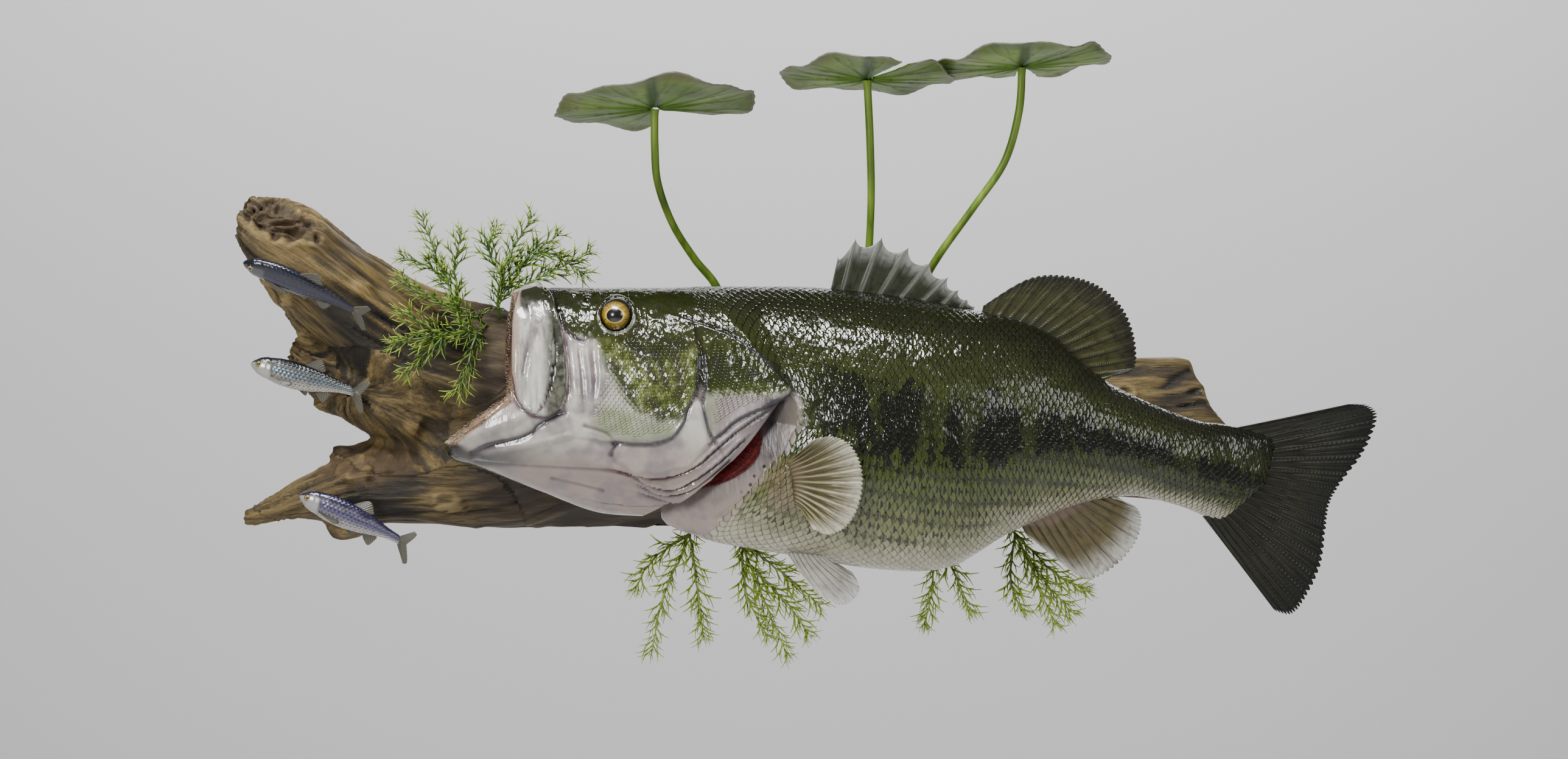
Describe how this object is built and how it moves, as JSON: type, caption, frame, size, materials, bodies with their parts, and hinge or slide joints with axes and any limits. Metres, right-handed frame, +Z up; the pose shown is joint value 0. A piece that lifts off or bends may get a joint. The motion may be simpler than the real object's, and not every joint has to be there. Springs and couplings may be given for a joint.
{
  "type": "mounted largemouth bass",
  "caption": "Life-size largemouth bass with its mouth open, fixed on driftwood with lily pads, water weed and small bait fish, to hang on a wall.",
  "frame": {"origin": "on the flat back of the driftwood, where it lies on the wall, behind the bass's shoulder", "axes": "+Z up; +Y into the wall; the bass faces -X and shows its left flank to -Y"},
  "size_m": [0.7962, 0.2064, 0.4286],
  "materials": {
    "bass_skin": "wet gloss lacquer over painted scales",
    "jaw_skin": "wet gloss lacquer over painted skin",
    "dark_fin": "gloss lacquer on a thin ribbed sheet",
    "pale_fin": "gloss lacquer on a thin ribbed sheet",
    "gill": "gloss",
    "mouth": "gloss",
    "eye": "polished glass with a painted back",
    "driftwood": "weathered and bare",
    "lily_pad": "satin",
    "lily_stem": "satin",
    "weed": "satin",
    "bait_skin": "gloss lacquer"
  },
  "bodies": {
    "root": {"anal_fin": "pale_fin", "bait_fish_lower": "bait_skin", "bait_fish_middle": "bait_skin", "bait_fish_upper": "bait_skin", "eye_left": "eye", "eye_right": "eye", "gill_cover_left": "jaw_skin", "gill_cover_right": "jaw_skin", "gills_left": "gill", "gills_right": "gill", "head": "bass_skin", "lily_pad_left": "lily_pad", "lily_pad_middle": "lily_pad", "lily_pad_right": "lily_pad", "lily_stem_left": "lily_stem", "lily_stem_middle": "lily_stem", "lily_stem_right": "lily_stem", "lower_jaw": "jaw_skin", "maxilla_left": "jaw_skin", "maxilla_right": "jaw_skin", "pectoral_fin_left": "pale_fin", "pectoral_fin_right": "pale_fin", "pelvic_fin_left": "pale_fin", "pelvic_fin_right": "pale_fin", "soft_dorsal_fin": "dark_fin", "spiny_dorsal_fin": "dark_fin", "tail_fin": "dark_fin", "tail_stem": "bass_skin", "throat_left": "jaw_skin", "throat_right": "jaw_skin", "tongue": "mouth", "trunk": "bass_skin", "weed_behind_head": "weed", "weed_below_anal_fin": "dark_fin", "weed_below_belly": "weed", "weed_below_breast": "weed", "weed_below_throat": "weed", "weed_beside_head": "weed", "weed_over_limb": "weed", "wood_lower_limb": "driftwood", "wood_middle_limb": "driftwood", "wood_trunk": "driftwood", "wood_upper_limb": "driftwood"}
  },
  "joints": []
}
